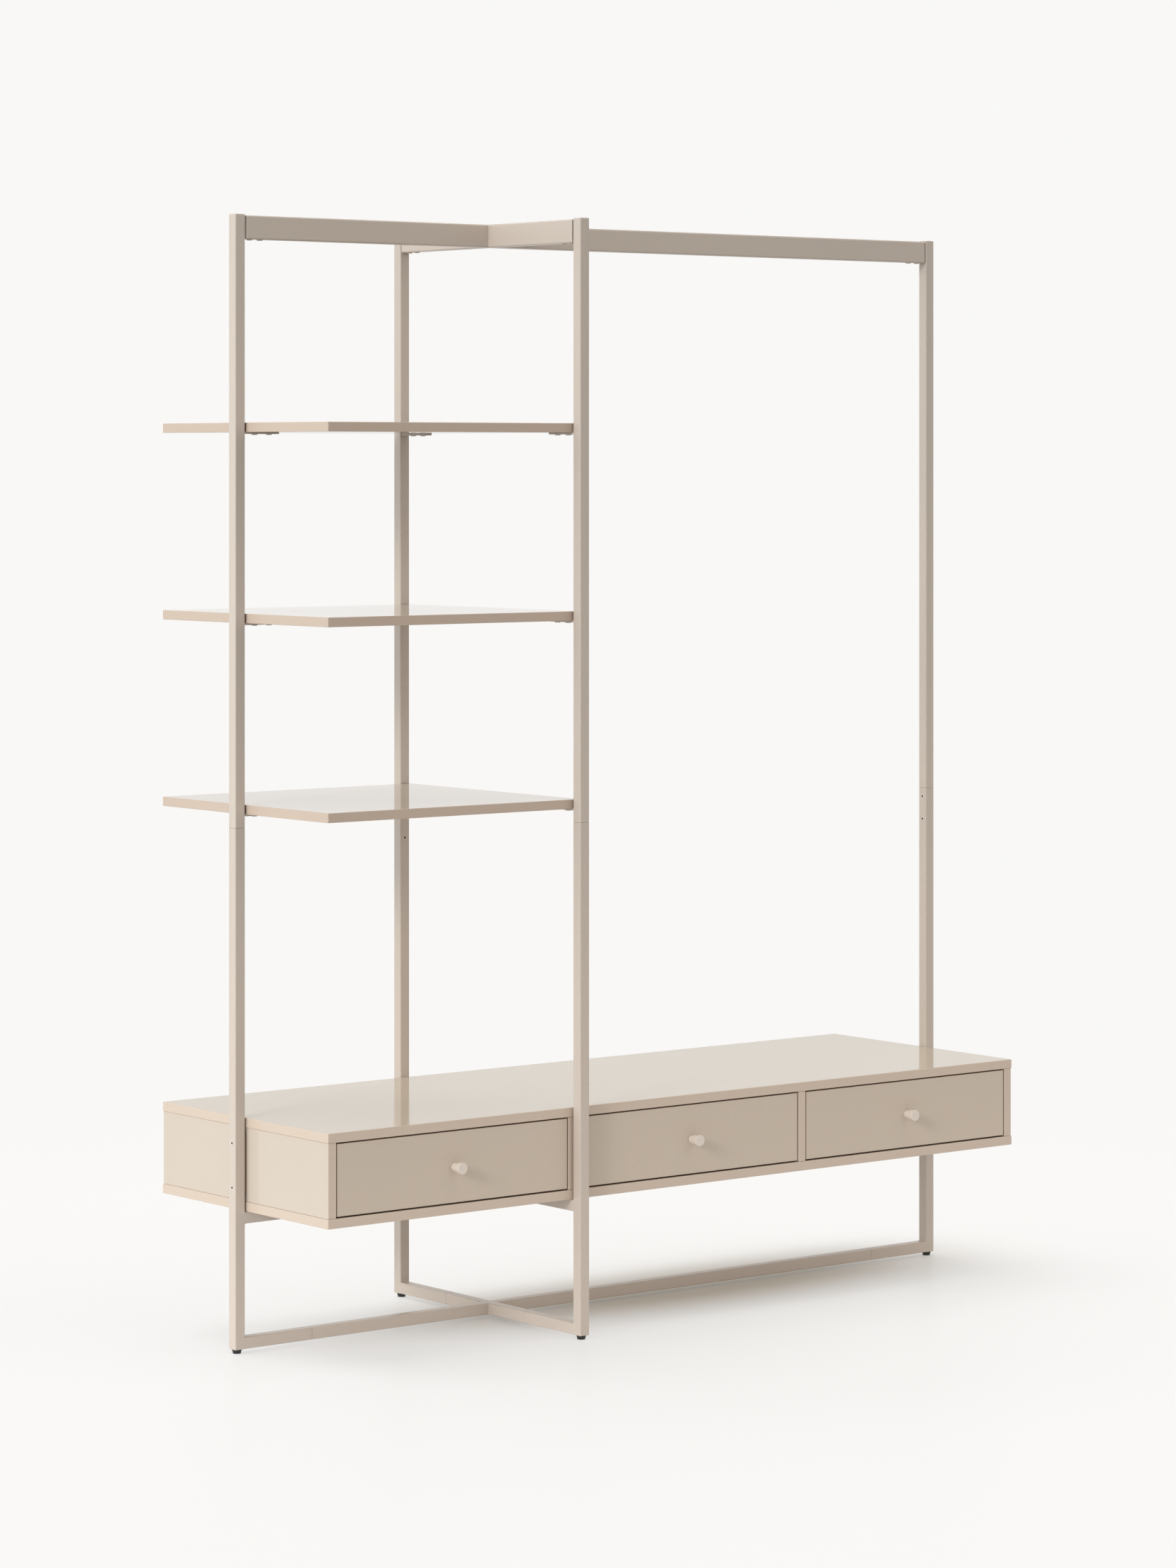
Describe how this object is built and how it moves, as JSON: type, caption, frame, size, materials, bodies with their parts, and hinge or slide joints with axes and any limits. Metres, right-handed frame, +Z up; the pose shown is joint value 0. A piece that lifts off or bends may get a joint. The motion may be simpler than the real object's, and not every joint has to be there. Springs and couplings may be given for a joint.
{
  "type": "open-front wardrobe",
  "caption": "Open-front wardrobe: steel posts in a plus plan, shelves on brackets, a hanging beam, and a low cabinet with sliding drawers held between the posts.",
  "frame": {"origin": "on the floor, at the centre of the footprint, which is the centre of the cabinet", "axes": "+Z up; +X to the right along the cabinet and the long beam as seen from the front; the open front and the drawers face -Y"},
  "size_m": [1.576, 0.536, 1.9],
  "materials": {
    "frame_steel": "satin powder coat, warm greige",
    "board_melamine": "satin melamine facing, warm greige",
    "drawer_front_melamine": "satin melamine facing, a shade deeper greige",
    "drawer_box_board": "foil-faced board, matt greige",
    "knob_coat": "satin coat, warm greige",
    "runner_steel": "zinc-plated steel, half bright",
    "foot_plastic": "matt black plastic",
    "spacer_plastic": "matt brown plastic"
  },
  "bodies": {
    "frame_and_cabinet": {"leg_frame_left": "frame_steel", "upper_post_left": "frame_steel", "beam_bracket_left": "frame_steel", "leg_frame_right": "frame_steel", "upper_post_right": "frame_steel", "beam_bracket_right": "frame_steel", "leg_frame_front": "frame_steel", "upper_post_front": "frame_steel", "beam_bracket_front": "frame_steel", "leg_frame_back": "frame_steel", "upper_post_back": "frame_steel", "beam_bracket_back": "frame_steel", "floor_cross": "frame_steel", "top_cross": "frame_steel", "shelf_1": "board_melamine", "shelf_bracket_1_left": "frame_steel", "shelf_bracket_1_front": "frame_steel", "shelf_bracket_1_back": "frame_steel", "shelf_2": "board_melamine", "shelf_bracket_2_left": "frame_steel", "shelf_bracket_2_front": "frame_steel", "shelf_bracket_2_back": "frame_steel", "shelf_3": "board_melamine", "shelf_bracket_3_left": "frame_steel", "shelf_bracket_3_front": "frame_steel", "shelf_bracket_3_back": "frame_steel", "cabinet_bottom": "board_melamine", "cabinet_top": "board_melamine", "cabinet_side_left": "board_melamine", "cabinet_side_right": "board_melamine", "cabinet_divider_left": "board_melamine", "cabinet_divider_right": "board_melamine", "cabinet_back": "board_melamine", "cabinet_spacer_left": "spacer_plastic", "cabinet_spacer_right": "spacer_plastic", "runner_left_left": "runner_steel", "runner_left_right": "runner_steel", "runner_middle_left": "runner_steel", "runner_middle_right": "runner_steel", "runner_right_left": "runner_steel", "runner_right_right": "runner_steel"},
    "drawer_left": {"drawer_front_left": "drawer_front_melamine", "drawer_box_left": "drawer_box_board", "drawer_knob_left": "knob_coat", "drawer_rail_left_left": "runner_steel", "drawer_rail_left_right": "runner_steel"},
    "drawer_middle": {"drawer_front_middle": "drawer_front_melamine", "drawer_box_middle": "drawer_box_board", "drawer_knob_middle": "knob_coat", "drawer_rail_middle_left": "runner_steel", "drawer_rail_middle_right": "runner_steel"},
    "drawer_right": {"drawer_front_right": "drawer_front_melamine", "drawer_box_right": "drawer_box_board", "drawer_knob_right": "knob_coat", "drawer_rail_right_left": "runner_steel", "drawer_rail_right_right": "runner_steel"},
    "foot_left": {"levelling_foot_left": "foot_plastic"},
    "foot_right": {"levelling_foot_right": "foot_plastic"},
    "foot_front": {"levelling_foot_front": "foot_plastic"},
    "foot_back": {"levelling_foot_back": "foot_plastic"}
  },
  "joints": [
    {"name": "drawer_left_slide", "type": "slide", "parent": "frame_and_cabinet", "child": "drawer_left", "axis": [0, -1, 0], "range_m": [0, 0.3]},
    {"name": "drawer_middle_slide", "type": "slide", "parent": "frame_and_cabinet", "child": "drawer_middle", "axis": [0, -1, 0], "range_m": [0, 0.3]},
    {"name": "drawer_right_slide", "type": "slide", "parent": "frame_and_cabinet", "child": "drawer_right", "axis": [0, -1, 0], "range_m": [0, 0.3]},
    {"name": "foot_left_turn", "type": "hinge", "parent": "frame_and_cabinet", "child": "foot_left", "pos_m": [-0.778, 0, 0], "axis": [0, 0, 1], "continuous": true},
    {"name": "foot_right_turn", "type": "hinge", "parent": "frame_and_cabinet", "child": "foot_right", "pos_m": [0.778, 0, 0], "axis": [0, 0, 1], "continuous": true},
    {"name": "foot_front_turn", "type": "hinge", "parent": "frame_and_cabinet", "child": "foot_front", "pos_m": [-0.25, -0.258, 0], "axis": [0, 0, 1], "continuous": true},
    {"name": "foot_back_turn", "type": "hinge", "parent": "frame_and_cabinet", "child": "foot_back", "pos_m": [-0.25, 0.258, 0], "axis": [0, 0, 1], "continuous": true}
  ]
}
